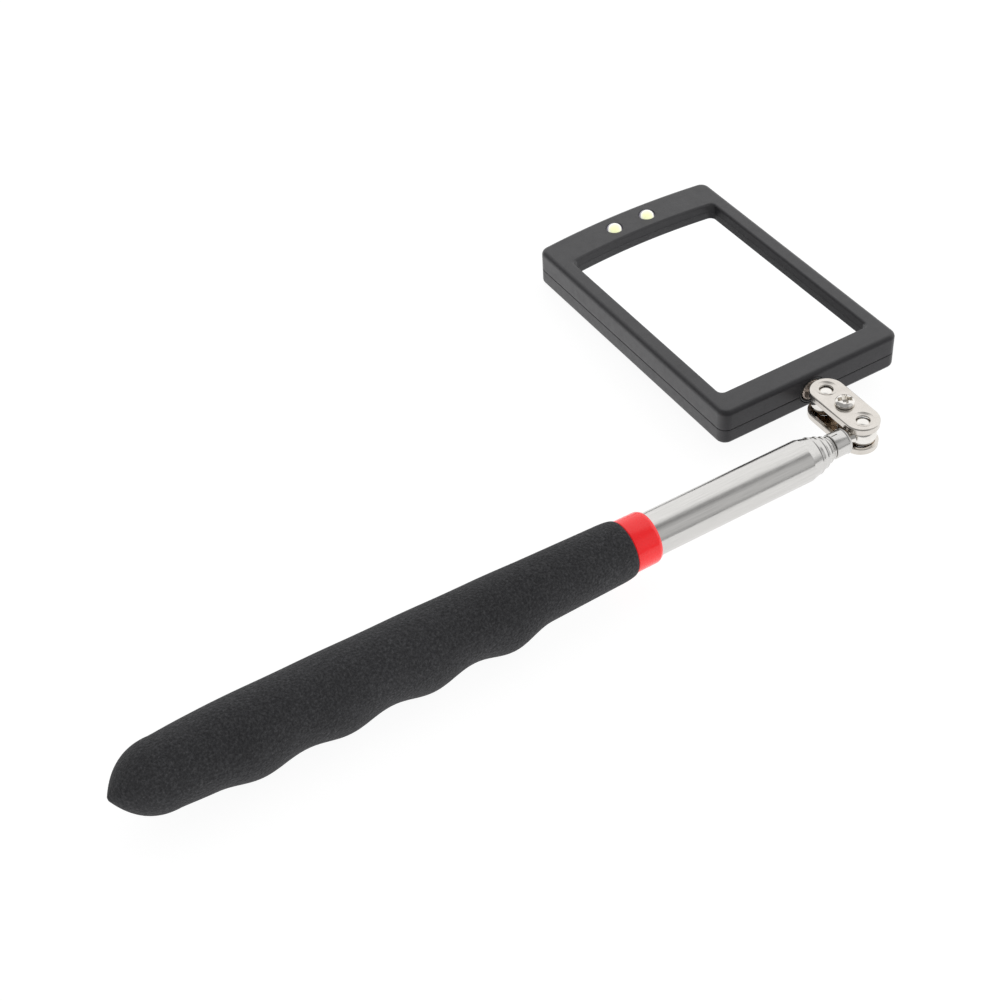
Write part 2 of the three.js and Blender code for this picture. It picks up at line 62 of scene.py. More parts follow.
TUBE_BALL, HEAD_BALL = middle("tube_ball"), middle("head_ball")
ACROSS = Vector((1, 0, 0))
ALONG = (HEAD_BALL - TUBE_BALL).normalized()
UP = ACROSS.cross(ALONG)
TO_METRES = Matrix.Scale(MM, 4)
HANDLE = Matrix.Translation(TUBE_BALL) @ TO_METRES
TURNED = Matrix((ACROSS, ALONG, UP)).transposed().to_4x4()
PLANE = Matrix.Translation(TUBE_BALL) @ TURNED @ TO_METRES
SPACING = (HEAD_BALL - TUBE_BALL).length / MM
FLIPPED = PLANE @ Matrix.Rotation(math.pi, 4, "Y")  # for the lower plate
AT_HEAD_BALL = Matrix.Translation((0, SPACING, 0)) @ Matrix.Rotation(math.pi / 2, 4, "Z")
NECK_SPACE = PLANE @ AT_HEAD_BALL  # its X runs from the head ball into the casing
TOWARDS_TUBE = NECK_SPACE @ Matrix.Rotation(math.pi, 4, "Z")


def extent(node, space):
    """Lowest and highest corner of a CAD node in one of the spaces, in millimetres."""
    back = space.inverted()
    points = [back @ v.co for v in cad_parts[node].data.vertices]
    return [Vector([pick(p[k] for p in points) for k in range(3)]) for pick in (min, max)]


def spot(node):
    """X and Y of a CAD node's middle in PLANE, in millimetres."""
    low, high = extent(node, PLANE)
    return (low.x + high.x) / 2, (low.y + high.y) / 2


# ---- Mesh helpers ------------------------------------------------


def rounded(path, steps=5, closed=True):
    """A flat path whose points may carry a third number, the radius that rounds them."""
    out, count = [], len(path)
    for i, point in enumerate(path):
        here, radius = Vector(point[:2]), (point[2] if len(point) > 2 else 0)
        if radius <= 0 or (not closed and i in (0, count - 1)):
            out.append(here)
            continue
        back = Vector(path[i - 1][:2]) - here
        ahead = Vector(path[(i + 1) % count][:2]) - here
        room = 0.49 * min(back.length, ahead.length)
        back, ahead = back.normalized(), ahead.normalized()
        half = back.angle(ahead) / 2
        reach = min(radius / math.tan(half), room)
        radius = reach * math.tan(half)
        centre = here + (back + ahead).normalized() * (radius / math.sin(half))
        start, stop = here + back * reach - centre, here + ahead * reach - centre
        sweep = start.angle(stop) * (1 if start.cross(stop) > 0 else -1)
        for k in range(steps + 1):
            turn = Matrix.Rotation(sweep * k / steps, 2)
            out.append(centre + turn @ start)
    return out


# arc, line and curve leave out their last point, so that they can be chained.


def arc(x, y, radius, start, stop, steps):
    angles = [math.radians(start + (stop - start) * k / steps) for k in range(steps)]
    return [(x + radius * math.cos(a), y + radius * math.sin(a)) for a in angles]


def line(start, stop, steps):
    (x0, y0), (x1, y1) = start, stop
    return [(x0 + (x1 - x0) * k / steps, y0 + (y1 - y0) * k / steps) for k in range(steps)]


def curve(start, control, stop, steps):
    out = []
    for k in range(steps):
        t = k / steps
        a, b, c = (1 - t) ** 2, 2 * t * (1 - t), t * t
        out.append(tuple(a * p + b * q + c * r for p, q, r in zip(start, control, stop)))
    return out


def level(plan, z):
    return [(x, y, z) for x, y in plan]


def bridge(bm, one, two):
    if len(one) == 1 and len(two) == 1:
        return
    count = max(len(one), len(two))
    for i in range(count):
        j = (i + 1) % count
        corners = [one[i % len(one)], one[j % len(one)], two[j % len(two)], two[i % len(two)]]
        unique = [v for k, v in enumerate(corners) if v not in corners[:k]]
        bm.faces.new(unique)


def loft(rings, loop=False, caps=False):
    """Skins a list of rings of 3-D points. loop joins the last ring to the first."""
    bm = bmesh.new()
    made = [[bm.verts.new(p) for p in ring] for ring in rings]
    for one, two in zip(made, made[1:]):
        bridge(bm, one, two)
    if loop:
        bridge(bm, made[-1], made[0])
    if caps:
        bm.faces.new(made[0])
        bm.faces.new(made[-1])
    bmesh.ops.recalc_face_normals(bm, faces=bm.faces)
    return bm


def lathe(profile, segments=96, loop=False, shape=None):
    """Turns [x, radius] points about X. shape(x, radius, angle) may change the radius."""
    rings = []
    for x, radius in profile:
        if radius < 1e-6:
            rings.append([(x, 0, 0)])
            continue
        ring = []
        for k in range(segments):
            a = 2 * math.pi * k / segments
            r = shape(x, radius, a) if shape else radius
            ring.append((x, r * math.cos(a), r * math.sin(a)))
        rings.append(ring)
    return loft(rings, loop=loop)


def upright(profile, x=0.0, y=0.0, segments=64):
    """Turned piece standing on (x, y), from [z, radius] points."""
    bm = lathe(profile, segments)
    bmesh.ops.rotate(bm, verts=bm.verts, matrix=Matrix.Rotation(-math.pi / 2, 3, "Y"))
    bmesh.ops.translate(bm, verts=bm.verts, vec=(x, y, 0))
    return bm


def prism(plan, z0, z1):
    """Straight solid on a plan of (x, y) points."""
    return loft([level(plan, z0), level(plan, z1)], caps=True)


def brick(x0, x1, y0, y1, z0, z1, radius=0.0, steps=4):
    corners = [(x0, y0, radius), (x1, y0, radius), (x1, y1, radius), (x0, y1, radius)]
    return prism(rounded(corners, steps), z0, z1)


def loose(bm, name="cutter"):
    """An object for the boolean, removed again by carve."""
    mesh = bpy.data.meshes.new(name)
    bmesh.ops.recalc_face_normals(bm, faces=bm.faces)
    bm.to_mesh(mesh)
    bm.free()
    ob = bpy.data.objects.new(name, mesh)
    bpy.context.scene.collection.objects.link(ob)
    return ob


def carve(bm, tools, operation="DIFFERENCE"):
    """The solid after an exact boolean with each tool, as a new bmesh."""
    body = loose(bm, "body")
    cutters = [loose(tool) for tool in tools]
    for cutter in cutters:
        step = body.modifiers.new("cut", "BOOLEAN")
        step.object, step.operation, step.solver = cutter, operation, "EXACT"
    bpy.context.view_layer.update()
    ready = body.evaluated_get(bpy.context.evaluated_depsgraph_get())
    mesh = bpy.data.meshes.new_from_object(ready)
    out = bmesh.new()
    out.from_mesh(mesh)
    for ob in [body, *cutters]:
        spent = ob.data
        bpy.data.objects.remove(ob)
        bpy.data.meshes.remove(spent)
    bpy.data.meshes.remove(mesh)
    return out


def piece(name, bm, space, material, body, nodes, sharp=32, bevel=None, weighted=False):
    """Puts a finished mesh in the row frame, on its body, in place of its CAD nodes."""
    bmesh.ops.remove_doubles(bm, verts=bm.verts, dist=1e-4)
    bmesh.ops.dissolve_degenerate(bm, edges=bm.edges, dist=1e-5)
    bmesh.ops.recalc_face_normals(bm, faces=bm.faces)
    bm.transform(space)
    mesh = bpy.data.meshes.new(name)
    bm.to_mesh(mesh)
    bm.free()
    mesh.materials.append(material)
    mesh.polygons.foreach_set("use_smooth", [True] * len(mesh.polygons))
    mesh.set_sharp_from_angle(angle=math.radians(sharp))
    ob = bpy.data.objects.new(name, mesh)
    bpy.context.scene.collection.objects.link(ob)
    if bevel:
        edge = ob.modifiers.new("edge", "BEVEL")
        edge.width, edge.segments = bevel * MM, 2
        edge.limit_method, edge.angle_limit = "ANGLE", math.radians(40)
    if weighted:
        ob.modifiers.new("normals", "WEIGHTED_NORMAL").keep_sharp = True
    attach(ob, body)
    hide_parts(*nodes)
    return ob


# ---- Materials ---------------------------------------------------


class Nodes:
    """A node tree, with short ways to add nodes and join them."""

    def __init__(self, tree):
        self.tree = tree

    def add(self, kind, **inputs):
        node = self.tree.nodes.new(kind)
        for key, value in inputs.items():
            node.inputs[key.replace("_", " ")].default_value = value
        return node

    def link(self, out, into):
        self.tree.links.new(out, into)

    def vector(self, operation, value, fixed=None):
        """Node of a vector operation on a socket, with a fixed vector where it takes two."""
        node = self.add("ShaderNodeVectorMath")
        node.operation = operation
        self.link(value, node.inputs[0])
        if fixed is not None:
            node.inputs[1].default_value = fixed
        return node

    def both(self, operation, one, two):
        """Two numbers joined by one operation."""
        node = self.add("ShaderNodeMath")
        node.operation = operation
        self.link(one, node.inputs[0])
        self.link(two, node.inputs[1])
        return node.outputs[0]

    def spread(self, value, low, high, start=0.3, stop=0.7, kind="LINEAR"):
        """Low to high as the value goes from start to stop."""
        node = self.add("ShaderNodeMapRange", From_Min=start, From_Max=stop,
                        To_Min=low, To_Max=high)
        node.interpolation_type = kind
        self.link(value, node.inputs["Value"])
        return node.outputs["Result"]


class Finish(Nodes):
    """A Principled material with procedural colour, roughness and bump in the row frame.

    Noise and cell scales count per metre, and bump distances are in metres.
    """

    def __init__(self, name, metallic=0.0, **sockets):
        self.material = bpy.data.materials.new(name)
        self.material.use_nodes = True
        super().__init__(self.material.node_tree)
        self.shader = self.tree.nodes["Principled BSDF"]
        self.shader.inputs["Metallic"].default_value = metallic
        for socket, value in sockets.items():
            self.shader.inputs[socket.replace("_", " ")].default_value = value
        self.place = self.add("ShaderNodeTexCoord").outputs["Object"]
        self.relief = None

    def noise(self, scale, detail=3.0, roughness=0.55, stretch=None):
        where = self.place
        if stretch:
            mapping = self.add("ShaderNodeMapping", Scale=stretch)
            self.link(where, mapping.inputs["Vector"])
            where = mapping.outputs["Vector"]
        node = self.add("ShaderNodeTexNoise", Scale=scale, Detail=detail, Roughness=roughness)
        self.link(where, node.inputs["Vector"])
        return node.outputs["Fac"]

    def cells(self, scale):
        node = self.add("ShaderNodeTexVoronoi", Scale=scale)
        self.link(self.place, node.inputs["Vector"])
        return node.outputs["Distance"]

    def toward(self, direction, start, stop):
        """0 to 1 as the surface turns to face a direction of the row frame."""
        normal = self.add("ShaderNodeTexCoord").outputs["Normal"]
        facing = self.vector("DOT_PRODUCT", normal, direction)
        return self.spread(facing.outputs["Value"], 0, 1, start, stop)

    def height(self, origin, direction, start, stop):
        """0 to 1 between two distances along a direction from a point."""
        along = self.vector("DOT_PRODUCT", self.place, direction)
        base = origin.dot(direction)
        return self.spread(along.outputs["Value"], 0, 1, base + start, base + stop)

    def ramp(self, value, stops):
        node = self.add("ShaderNodeValToRGB")
        marks = node.color_ramp.elements
        while len(marks) < len(stops):
            marks.new(0.5)
        for mark, (at, colour) in zip(marks, stops):
            mark.position, mark.color = at, (*colour, 1)
        self.link(value, node.inputs["Fac"])
        return node.outputs["Color"]

    def tones(self, value, first, second):
        """From one colour to another over the middle of a noise's range."""
        return self.ramp(value, [(0.3, first), (0.7, second)])

    def mix(self, factor, one, two, kind="MIX"):
        """Blends two colours. Each value is a socket, a plain number or a colour."""
        node = self.add("ShaderNodeMix")
        node.data_type, node.blend_type = "RGBA", kind
        for socket, value in ((0, factor), (6, one), (7, two)):
            if isinstance(value, (int, float)):
                node.inputs[socket].default_value = value
            elif isinstance(value, tuple):
                node.inputs[socket].default_value = (*value, 1)
            else:
                self.link(value, node.inputs[socket])
        return node.outputs[2]

    def colour(self, out):
        self.link(out, self.shader.inputs["Base Color"])
        return self

    def rough(self, out):
        self.link(out, self.shader.inputs["Roughness"])
        return self

    def bump(self, height, distance, strength=1.0):
        node = self.add("ShaderNodeBump", Strength=strength, Distance=distance)
        self.link(height, node.inputs["Height"])
        if self.relief:
            self.link(self.relief, node.inputs["Normal"])
        self.relief = node.outputs["Normal"]
        self.link(self.relief, self.shader.inputs["Normal"])
        return self


def foam():
    f = Finish("foam", IOR=1.3, Specular_IOR_Level=0.12, Sheen_Weight=0.1)
    grain = f.noise(1500, 5, 0.75)
    body = f.ramp(grain, [(0.3, (0.036, 0.036, 0.0385)), (0.5, (0.062, 0.062, 0.0655)),
                          (0.7, (0.115, 0.115, 0.12))])
    cloud = f.tones(f.noise(60, 4), (0.78, 0.78, 0.78), (1.0, 1.0, 1.0))
    f.colour(f.mix(1.0, body, cloud, "MULTIPLY"))
    f.rough(f.spread(grain, 0.85, 1.0))
    return f.bump(f.cells(1400), 0.00025, 0.7).bump(grain, 0.0003, 0.8).material


def red_plastic():
    # The red emission is a painted glow that brightens the plastic, which is no lamp.
    f = Finish("red_plastic", Coat_Weight=0.3, Coat_Roughness=0.05, IOR=1.46,
               Emission_Color=(1, 0.01, 0.015, 1), Emission_Strength=0.25)
    f.colour(f.tones(f.noise(90, 3), (0.93, 0.008, 0.012), (1.0, 0.014, 0.018)))
    f.rough(f.spread(f.noise(600, 4), 0.2, 0.32))
    return f.bump(f.noise(900, 2), 0.000012, 0.6).material


def tube_steel(name):
    f = Finish(name, metallic=1.0)
    drawn = f.noise(1, 3, 0.6, stretch=(90, 5200, 5200))
    f.colour(f.ramp(drawn, [(0.25, (0.60, 0.59, 0.575)), (0.7, (0.70, 0.69, 0.672))]))
    f.rough(f.spread(f.noise(1, 4, 0.6, stretch=(300, 2600, 2600)), 0.13, 0.26))
    return f.bump(drawn, 0.000012, 0.55).material


def worn_metal(name, scale, first, second, rough, grain, depth, strength=0.5):
    """Metal whose colour and roughness follow one noise, with a finer grain in relief."""
    f = Finish(name, metallic=1.0)
    tone = f.noise(scale, 4)
    f.colour(f.tones(tone, first, second))
    f.rough(f.spread(tone, *rough))
    return f.bump(f.noise(grain, 3), depth, strength).material


def bright_metal():
    return worn_metal("bright_metal", 420, (0.78, 0.755, 0.715), (0.86, 0.84, 0.805),
                      (0.07, 0.17), 2600, 0.000008, 0.4)


def plate_metal():
    """Warm nickel plating, with a painted dark brown reflection on the lower plate's inner face."""
    f = Finish("plate_metal", metallic=1.0)
    haze = f.noise(420, 4)
    plating = f.tones(haze, (0.645, 0.61, 0.565), (0.715, 0.68, 0.635))
    painted_reflection = f.tones(haze, (0.17, 0.12, 0.085), (0.30, 0.22, 0.15))
    low_down = f.height(TUBE_BALL, UP, -2.7 * MM, -3.1 * MM)
    inside = f.both("MULTIPLY", f.toward(UP, 0.2, 0.8), low_down)
    # Painted reflection: dark brown mixed in on the up-facing inner face of the lower plate.
    f.colour(f.mix(inside, plating, painted_reflection))
    f.rough(f.spread(haze, 0.12, 0.24))
    return f.bump(f.noise(2600, 3), 0.000008, 0.4).material


def dull_metal():
    return worn_metal("dull_metal", 600, (0.26, 0.215, 0.185), (0.42, 0.365, 0.325),
                      (0.26, 0.42), 2400, 0.00002)


def bronze():
    return worn_metal("bronze", 260, (0.44, 0.25, 0.10), (0.62, 0.40, 0.17),
                      (0.28, 0.5), 1800, 0.00002)


def screw_steel():
    return worn_metal("screw_steel", 700, (0.50, 0.51, 0.53), (0.68, 0.69, 0.71),
                      (0.2, 0.38), 3200, 0.000015)


def casing():
    f = Finish("casing", IOR=1.49)
    grain = f.noise(2300, 3, 0.6)
    tone = f.tones(f.noise(55, 3), (0.0315, 0.0305, 0.0345), (0.039, 0.0378, 0.042))
    # The wall of the window beside the lights is paler with painted light; the wall round the stem
    # is duller with painted shade, by a lower specular level.
    wall, near, far = f.toward(-ALONG, 0.3, 0.9), 30 * MM, 60 * MM
    painted_light_mask = f.both("MULTIPLY", wall, f.height(TUBE_BALL, ALONG, near, far))
    painted_shade_mask = f.both("MULTIPLY", wall, f.height(TUBE_BALL, ALONG, far, near))
    tone = f.mix(painted_light_mask, tone, (0.066, 0.065, 0.070))
    speck = f.tones(grain, (0.8, 0.8, 0.8), (1.0, 1.0, 1.0))
    f.colour(f.mix(1.0, tone, speck, "MULTIPLY"))
    f.link(f.spread(painted_shade_mask, 0.7, 0.3, 0, 1), f.shader.inputs["Specular IOR Level"])
    f.rough(f.spread(f.noise(480, 4), 0.31, 0.44))
    return f.bump(grain, 0.00005, 0.6).material


def black_plastic():
    f = Finish("black_plastic", IOR=1.5)
    f.colour(f.tones(f.noise(400, 3), (0.010, 0.010, 0.011), (0.022, 0.022, 0.023)))
    f.rough(f.spread(f.noise(800, 4), 0.32, 0.5))
    return f.bump(f.noise(2600, 3), 0.00003, 0.5).material


def mirror():
    f = Finish("mirror", metallic=1.0)
    haze = f.noise(38, 3)
    f.colour(f.tones(haze, (0.94, 0.945, 0.95), (0.965, 0.968, 0.97)))
    return f.rough(f.spread(haze, 0.012, 0.03)).material


def backing_card():
    f = Finish("backing_card")
    fibre = f.noise(1, 4, 0.6, stretch=(500, 2200, 500))
    f.colour(f.tones(fibre, (0.20, 0.16, 0.11), (0.34, 0.28, 0.20)))
    return f.rough(f.spread(fibre, 0.8, 0.95)).bump(fibre, 0.00005, 0.6).material


def led_lens(name, node):
    """Clear epoxy over a phosphor chip: yellow in the middle, then whiter, then a painted dark
    grey-violet reflection on one side, round a centre set off the dome's middle. The emission is a
    painted glow, as the light is off.
    """
    painted_centre = middle(node) + Vector((-0.45, -0.78, 0)) * MM  # centre of the painted reflection's ramp, set off the dome's middle
    reach = 2.6 * MM  # distance from that centre that the ramp covers
    f = Finish(name, Coat_Weight=0.4, Coat_Roughness=0.08, IOR=1.48, Emission_Strength=0.8)
    away = f.vector("SUBTRACT", f.place, painted_centre).outputs["Vector"]
    flat = f.vector("MULTIPLY", away, (1, 1, 0)).outputs["Vector"]
    size = f.vector("LENGTH", flat).outputs["Value"]
    radial = f.spread(size, 0, 1, 0, reach)
    tint_and_painted_reflection = f.ramp(radial, [(0.0, (0.85, 0.89, 0.50)), (0.5, (0.86, 0.89, 0.56)),
                           (0.72, (0.86, 0.86, 0.78)), (0.8, (0.27, 0.26, 0.30)),
                           (1.0, (0.20, 0.19, 0.23))])
    speck = f.tones(f.noise(1500, 3), (0.93, 0.93, 0.9), (1, 1, 1))
    shade = f.mix(1.0, tint_and_painted_reflection, speck, "MULTIPLY")
    f.colour(shade)
    # Painted glow: the lens emits its own colours though the light is off.
    f.link(shade, f.shader.inputs["Emission Color"])
    return f.rough(f.spread(f.noise(700, 3), 0.1, 0.2)).material


def circuit_board():
    f = Finish("circuit_board", Coat_Weight=0.4, Coat_Roughness=0.2)
    f.colour(f.tones(f.noise(500, 4), (0.010, 0.07, 0.028), (0.02, 0.13, 0.05)))
    f.rough(f.spread(f.noise(900, 3), 0.35, 0.5))
    return f.bump(f.noise(1500, 3), 0.00003, 0.5).material


def coin_cell():
    f = Finish("coin_cell", metallic=1.0)
    brushed = f.noise(1, 3, 0.6, stretch=(160, 4200, 160))
    f.colour(f.tones(brushed, (0.62, 0.62, 0.60), (0.76, 0.76, 0.74)))
    return f.rough(f.spread(brushed, 0.16, 0.3)).bump(brushed, 0.00001, 0.5).material


def switch_case():
    f = Finish("switch_case", metallic=1.0)
    f.colour(f.tones(f.noise(600, 3), (0.50, 0.50, 0.49), (0.63, 0.63, 0.62)))
    f.rough(f.spread(f.noise(900, 3), 0.25, 0.4))
    return f.bump(f.noise(2400, 3), 0.00002, 0.5).material


FOAM, RED, STEEL, NICKEL = foam(), red_plastic(), tube_steel("tube_steel"), bright_metal()
FERRULE = tube_steel("ferrule_steel")  # the tubes' steel, in another slot
PLATING, DULL = plate_metal(), dull_metal()
BRONZE, SCREW, CASING, BLACK = bronze(), screw_steel(), casing(), black_plastic()
MIRROR, CARD, BOARD, CELL = mirror(), backing_card(), circuit_board(), coin_cell()
CAN = switch_case()

# ---- Handle ------------------------------------------------------

grip_low, grip_high = extent("foam_grip", HANDLE)
BUTT, GRIP_FRONT = grip_low.x, grip_high.x
AXIS_HEIGHT = -grip_low.z  # the finger ridges reach the table
BORE = 6.25  # of the foam
RIDGE_PITCH, RIDGE_FIRST, RIDGES = 23.2, BUTT + 34.7, 4


def ridge(x, radius):
    """Height of the finger ridges below the round grip, as on the CAD solid."""
    last = RIDGE_FIRST + (RIDGES - 1) * RIDGE_PITCH
    if x < RIDGE_FIRST - RIDGE_PITCH / 2 or x > last + RIDGE_PITCH / 2:
        return 0
    wave = 0.5 + 0.5 * math.cos(2 * math.pi * (x - RIDGE_FIRST) / RIDGE_PITCH)
    share = 0.12 + 0.88 * wave if RIDGE_FIRST < x < last else wave
    return (AXIS_HEIGHT - radius) * share


def spline(points, steps):
    """Catmull-Rom curve through the points, with its ends held."""
    held = [points[0], *points, points[-1]]
    out = []
    for a, b, c, d in zip(held, held[1:], held[2:], held[3:]):
        for k in range(steps):
            t = k / steps
            out.append(tuple(0.5 * (2 * q + (r - p) * t + (2 * p - 5 * q + 4 * r - s) * t * t
                                    + (3 * q - 3 * r + s - p) * t ** 3)
                             for p, q, r, s in zip(a, b, c, d)))
    return out


def grip():
    """Foam sleeve with a blunt butt, thickest under the palm, ridged below."""
    shoulder, palm = (BUTT + 14.1, 9.12), (BUTT + 33.1, 9.8)
    waist, lip = (BUTT + 86.1, 9.3), (GRIP_FRONT - 4.3, 8.12)
    mouth, bottom = (GRIP_FRONT, 7.25), BUTT + 13.8
    outside = curve((BUTT, 0.5), (BUTT + 4.95, 9.55), shoulder, 26)
    outside += spline([shoulder, palm, waist, lip], 64)
    outside += curve(lip, (GRIP_FRONT - 0.3, 8.0), mouth, 12)
    inside = [mouth, (GRIP_FRONT, BORE), (bottom, BORE), (bottom, 0)]

    def knuckles(x, radius, a):
        if radius < BORE + 0.5:
            return radius
        return radius + ridge(x, radius) * (0.5 - 0.5 * math.sin(a)) ** 2.2

    return lathe([(BUTT, 0), *outside, *inside], 120, shape=knuckles)


grip_piece = piece("foam_grip_moulded", grip(), HANDLE, FOAM, "handle", ["foam_grip"], 60)


def collar_ring():
    """Red ring with a softly rounded front."""
    low, high = extent("collar_ring", HANDLE)
    back, front, r, bore = low.x, high.x, high.y, 6.2
    path = [(back, bore), (back, r, 0.25), (front - 0.9, r - 0.05, 1.6),
            (front, r - 0.55, 0.5), (front, bore, 0.12)]
    return lathe(rounded(path, 8), 120, loop=True)


piece("collar_ring_gloss", collar_ring(), HANDLE, RED, "handle", ["collar_ring"], 50)

TUBES = ["outer_tube", "tube_section_2", "tube_section_3", "tube_section_4", "tip_tube"]
TUBE_BODIES = ["handle", "section_2", "section_3", "section_4", "tip"]
WALL, SLIDE = 0.38, 0.1  # thickness of a tube, and play between stages
CRIMP_LENGTHS = [3.7, 1.4, 1.3, 1.1]
radii = [extent(node, HANDLE)[1].y for node in TUBES]


def tube(index):
    """A drawn tube whose mouth is rolled down onto the next stage."""
    low, high = extent(TUBES[index], HANDLE)
    rear, mouth, r = low.x, high.x, radii[index]
    if index == len(TUBES) - 1:
        path = [(rear, r - WALL, 0.1), (rear, r, 0.1), (mouth, r, 0.15), (mouth, r - WALL, 0.1)]
        return lathe(rounded(path, 4), 96, loop=True)
    crimp, bore = mouth - CRIMP_LENGTHS[index], radii[index + 1] + SLIDE
    bend = 1.6 if index == 0 else 0.7
    path = [(rear, r - WALL, 0.1), (rear, r, 0.1), (crimp, r, bend),
            (mouth - 0.5, bore + WALL - 0.08, 0.3), (mouth - 0.25, bore + WALL + 0.05, 0.2),
            (mouth, bore + WALL - 0.03, 0.14), (mouth, bore, 0.1), (crimp, r - WALL, bend * 0.8)]
    return lathe(rounded(path, 8), 120, loop=True)


for index, (node, body) in enumerate(zip(TUBES, TUBE_BODIES)):
    piece(f"{node}_drawn", tube(index), HANDLE, STEEL, body, [node], 40)

BUSH_BODIES = {2: "section_2", 3: "section_3", 4: "section_4", 5: "tip_bush"}


def bush(number):
    """Spring sleeve with a raised band that rubs in the stage before."""
    low, high = extent(f"friction_bush_{number}", HANDLE)
    inner, outer = radii[number - 1] + SLIDE, radii[number - 2] - WALL - SLIDE
    a, b, slope, lip = low.x, high.x, 1.6, min(0.1, (outer - inner) / 3)
    path = [(a, inner), (a, outer - lip, 0.05), (a + slope, outer, 1), (b - slope, outer, 1),
            (b, outer - lip, 0.05), (b, inner)]
    return lathe(rounded(path, 4), 72, loop=True)


for number, body in BUSH_BODIES.items():
    node = f"friction_bush_{number}"
    piece(f"{node}_sleeve", bush(number), HANDLE, BRONZE, body, [node], 40)


def end_plug():
    """Plug with four shallow grooves round it and a hole through it."""
    low, high = extent("tube_end_plug", HANDLE)
    a, b, skin, groove, hole, pitch = low.x, high.x, 5.3, 5.0, 1.5, 1.9
    path = [(a, hole, 0.2), (a, skin, 0.3)]
    for k in range(4):
        at = a + 1.6 + pitch * k
        path += [(at, skin, 0.15), (at + 0.35, groove, 0.1), (at + 0.7, skin, 0.15)]
    path += [(b, skin, 0.4), (b, hole, 0.2)]
    return lathe(rounded(path, 3), 72, loop=True)


piece("tube_end_plug_ribbed", end_plug(), HANDLE, BLACK, "handle",
      ["tube_end_plug"], 40)

NECK = 1.3  # radius of both balls' necks
NECK_HOLE = NECK + 0.15


def ferrule():
    """Steel sleeve on the tip tube, staked on top, with a raised bright rim."""
    low, high = extent("tip_ferrule", HANDLE)
    back, front, r = low.x, high.x, high.y
    skin, cup = r - 0.08, front - 0.5
    spigot, shoulder = radii[4] - WALL - 0.15, extent("tip_tube", HANDLE)[1].x + 0.1
    path = [(back, NECK_HOLE), (back, spigot, 0.3), (shoulder, spigot), (shoulder, skin, 0.15),
            (front - 0.95, skin, 0.1), (front - 0.88, r - 0.2, 0.05),
            (front - 0.78, r - 0.05, 0.05), (front - 0.7, r + 0.08, 0.2),
            (front, r - 0.12, 0.35), (front, r - 0.7, 0.3),
            (cup, NECK + 0.6, 0.2), (cup, NECK_HOLE)]
    body = lathe(rounded(path, 6), 120, loop=True)
    stake = brick(-0.95, 0.95, -0.2, 0.2, r - 0.4, r + 1, 0.19)
    lean = Matrix.Rotation(math.radians(-6), 4, "X")
    stake.transform(lean @ Matrix.Translation((shoulder + 1.2, 0, 0)))
    return carve(body, [stake])


piece("tip_ferrule_rolled", ferrule(), HANDLE, FERRULE, "tip", ["tip_ferrule"], 40)

# ---- Ball joint --------------------------------------------------

BALL = (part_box("tube_ball")[1].x - TUBE_BALL.x) / MM + 0.1  # nearly fills its holes
CLEAR = 0.03  # between a ball and its neck


def ball():
    """Turned ball with a small faced flat at its free end."""
    steps, facing, hollow = 60, 0.55, 0.05
    flat = math.asin(facing / BALL)
    angles = [flat + (math.pi - flat) * k / steps for k in range(steps)]
    path = [(BALL * math.cos(flat) - hollow, 0), (BALL * math.cos(flat), 0.45)]
    path += [(BALL * math.cos(a), BALL * math.sin(a)) for a in angles]
    return lathe(path + [(-BALL, 0)], 96)


def neck(length):
    """Neck on -X of a ball: a filleted root that hugs the ball, then a plain shank."""
    cup, steps = BALL + CLEAR, 8
    root = math.asin(1.95 / cup)
    angles = [root * k / steps for k in range(steps + 1)]
    hollow = [(-cup * math.cos(a), cup * math.sin(a)) for a in angles]
    swept = curve(hollow[-1], (-cup - 0.35, NECK + 0.02), (-cup - 1.1, NECK), 8)
    shank = rounded([(-cup - 1.1, NECK), (-length, NECK, 0.3), (-length, 0)], 4, closed=False)
    return lathe(hollow[:-1] + swept + shank, 72)


BALLS = (("tube_ball", HANDLE, "tip", -extent("tube_ball_stem", HANDLE)[0].x),
         ("head_ball", TOWARDS_TUBE, "head_neck", extent("head_ball_stem", NECK_SPACE)[1].x))
for node, space, neck_body, length in BALLS:
    piece(f"{node}_turned", ball(), space, NICKEL, node, [node], 60)
    piece(f"{node}_neck", neck(length), space, NICKEL, neck_body,
          [f"{node}_stem"], 60)

plate_low, plate_high = extent("clamp_plate_top", PLANE)
PLATE, PLATE_TOP, PLATE_BOTTOM = plate_high.x, plate_high.z, plate_low.z
PLATE_NEAR = plate_low.y + PLATE  # centres of the round ends
PLATE_FAR = plate_high.y - PLATE
SHEET, RIM = 1.1, 0.9  # thickness of the flat, and of the lip round it
DISH, HOLE = 0.3, 1.85  # depth of the dish and radius of the hole over each ball
SCREW_AT = SPACING / 2


def stadium(radius, steps=30):
    near, far = PLATE_NEAR, PLATE_FAR
    plan = arc(0, near, radius, 180, 360, steps) + line((radius, near), (radius, far), 10)
    return plan + arc(0, far, radius, 0, 180, steps) + line((-radius, far), (-radius, near), 10)


